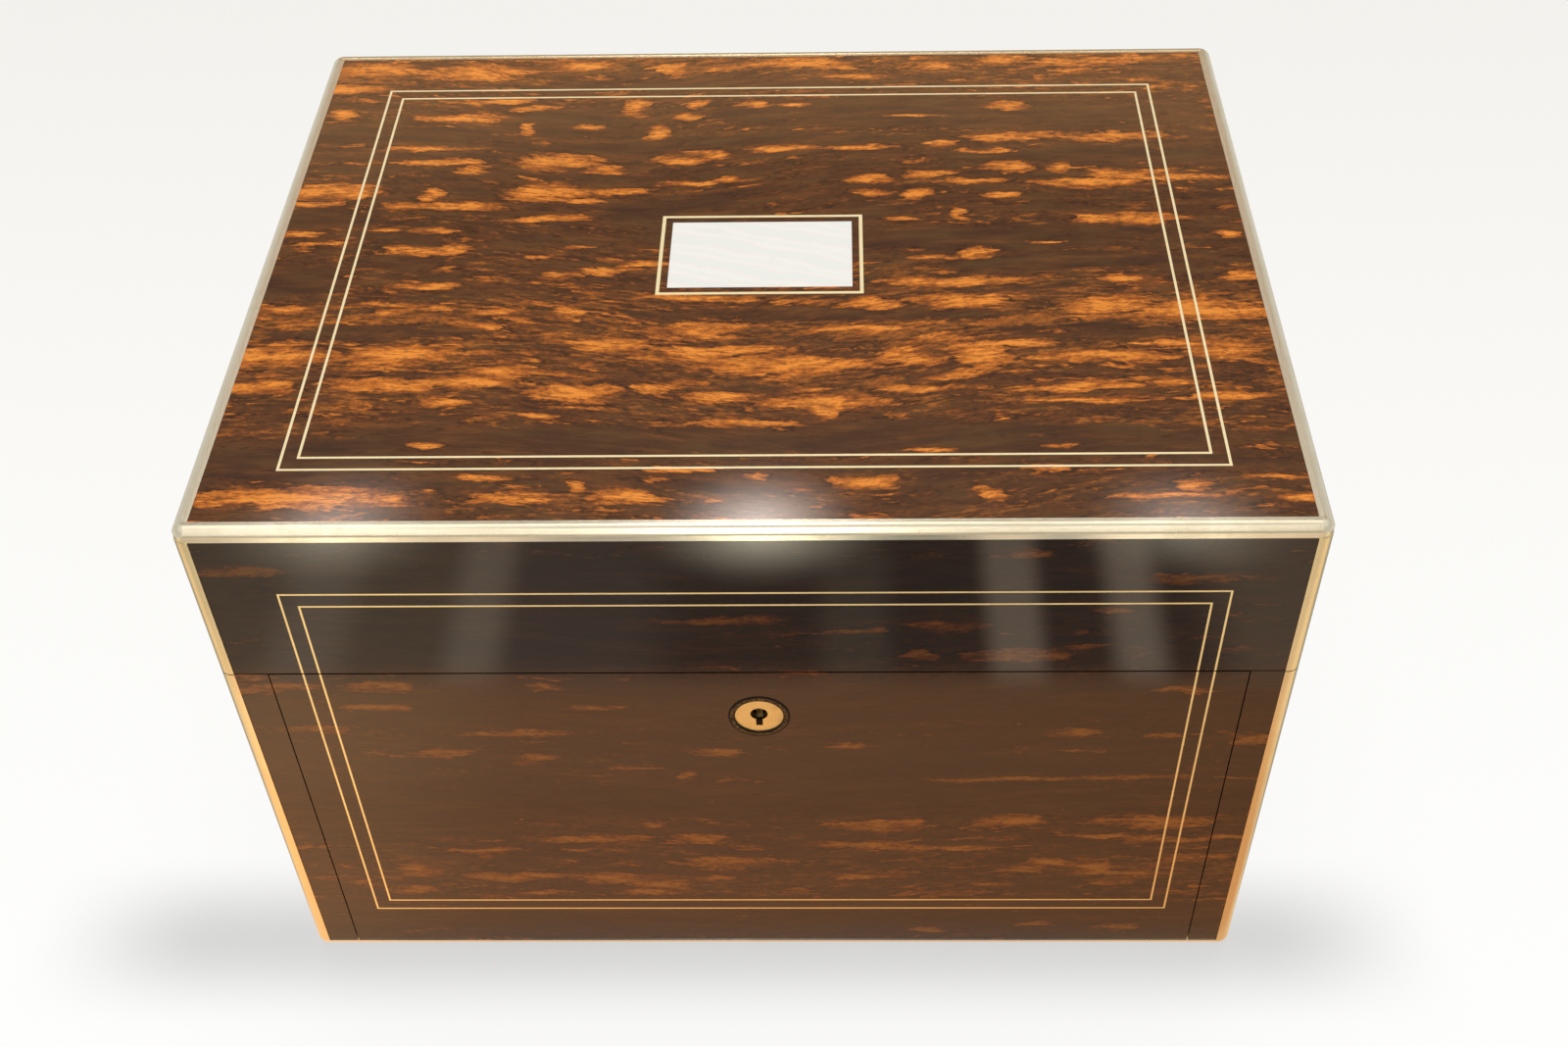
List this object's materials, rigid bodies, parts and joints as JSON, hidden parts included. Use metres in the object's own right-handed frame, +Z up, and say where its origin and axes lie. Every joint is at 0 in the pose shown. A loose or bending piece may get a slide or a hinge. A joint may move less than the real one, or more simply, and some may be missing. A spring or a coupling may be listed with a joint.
{
  "type": "dressing box",
  "caption": "Brass-bound veneered dressing box with hinged mirror lid, fall front over drawers, lift-out tray and lock.",
  "frame": {"origin": "middle of the footprint, on the surface that the box stands on", "axes": "+Z up, -Y towards the front with the lock, +X to the right as seen from the front"},
  "size_m": [0.33, 0.254, 0.2155],
  "materials": {
    "coromandel": "french polished veneer, dark with tan streaks along X",
    "carcass": "stained mahogany boards, satin",
    "interior_wood": "polished rosewood-coloured partitions",
    "brass": "lacquered and polished, lightly tarnished",
    "dark_brass": "patinated, nearly black",
    "steel": "bright steel",
    "pearl": "mother of pearl, polished",
    "velvet": "silk velvet",
    "leather": "goat leather lining",
    "baize": "wool baize",
    "bone": "turned bone",
    "mirror": "silvered glass"
  },
  "bodies": {
    "base": {"baize": "baize", "bottom_board": "carcass", "base_side_walls": "carcass", "base_back_wall": "carcass", "base_side_veneers": "coromandel", "base_back_veneer": "coromandel", "stile_veneers": "coromandel", "base_corner_strips": "brass", "base_edging": "brass", "drawer_shelf": "interior_wood", "drawer_divider": "interior_wood", "well_floor": "interior_wood", "inner_front": "interior_wood", "long_partition": "interior_wood", "bottle_partitions": "interior_wood", "tray_ledges": "interior_wood", "paper_lining": "leather", "jewel_well_lining": "velvet", "base_hinge_leaves": "brass", "hinge_pins": "steel", "base_hinge_screws": "steel"},
    "fall": {"fall_panel": "carcass", "fall_veneer": "coromandel", "fall_lines": "brass", "fall_edging": "brass", "fall_lining": "leather", "pivot_plates": "brass", "escutcheon_ring": "dark_brass", "keyhole_plate": "brass", "lock_case": "brass", "lock_screws": "steel"},
    "bolt": {"lock_bolt": "steel"},
    "lid": {"lid_top_board": "carcass", "lid_front_wall": "carcass", "lid_back_wall": "carcass", "lid_side_walls": "carcass", "lid_top_veneer": "coromandel", "lid_front_veneer": "coromandel", "lid_back_veneer": "coromandel", "lid_side_veneers": "coromandel", "lid_long_mouldings": "brass", "lid_short_mouldings": "brass", "lid_corner_strips": "brass", "lid_top_lines": "brass", "lid_front_lines": "brass", "plaque_border": "brass", "plaque": "pearl", "link_plate": "brass", "lid_screws": "steel", "lid_hinge_leaves": "brass", "lid_lining": "velvet", "mirror_frame": "interior_wood", "mirror_glass": "mirror"},
    "tray": {"tray": "interior_wood", "ring_pad": "velvet"},
    "left_drawer": {"left_drawer": "interior_wood", "left_drawer_knob": "bone"},
    "right_drawer": {"right_drawer": "interior_wood", "right_drawer_knob": "bone"}
  },
  "joints": [
    {"name": "lid_hinge", "type": "hinge", "parent": "base", "child": "lid", "pos_m": [0, 0.1244, 0.1535], "axis": [-1, 0, 0], "range_deg": [0, 95]},
    {"name": "fall_hinge", "type": "hinge", "parent": "base", "child": "fall", "pos_m": [0, -0.1238, 0.0038], "axis": [1, 0, 0], "range_deg": [0, 90]},
    {"name": "bolt_slide", "type": "slide", "parent": "fall", "child": "bolt", "axis": [1, 0, 0], "range_m": [0, 0.0055]},
    {"name": "tray_lift", "type": "slide", "parent": "base", "child": "tray", "axis": [0, 0, 1], "range_m": [0, 0.0499]},
    {"name": "left_drawer_slide", "type": "slide", "parent": "base", "child": "left_drawer", "axis": [0, -1, 0], "range_m": [0, 0.0866]},
    {"name": "right_drawer_slide", "type": "slide", "parent": "base", "child": "right_drawer", "axis": [0, -1, 0], "range_m": [0, 0.0866]}
  ],
  "couplings": [
    {"joint": "tray_lift", "follows": "lid_hinge", "m_per_rad": 0.03},
    {"joint": "left_drawer_slide", "follows": "fall_hinge", "m_per_rad": 0.055},
    {"joint": "right_drawer_slide", "follows": "fall_hinge", "m_per_rad": 0.055}
  ]
}
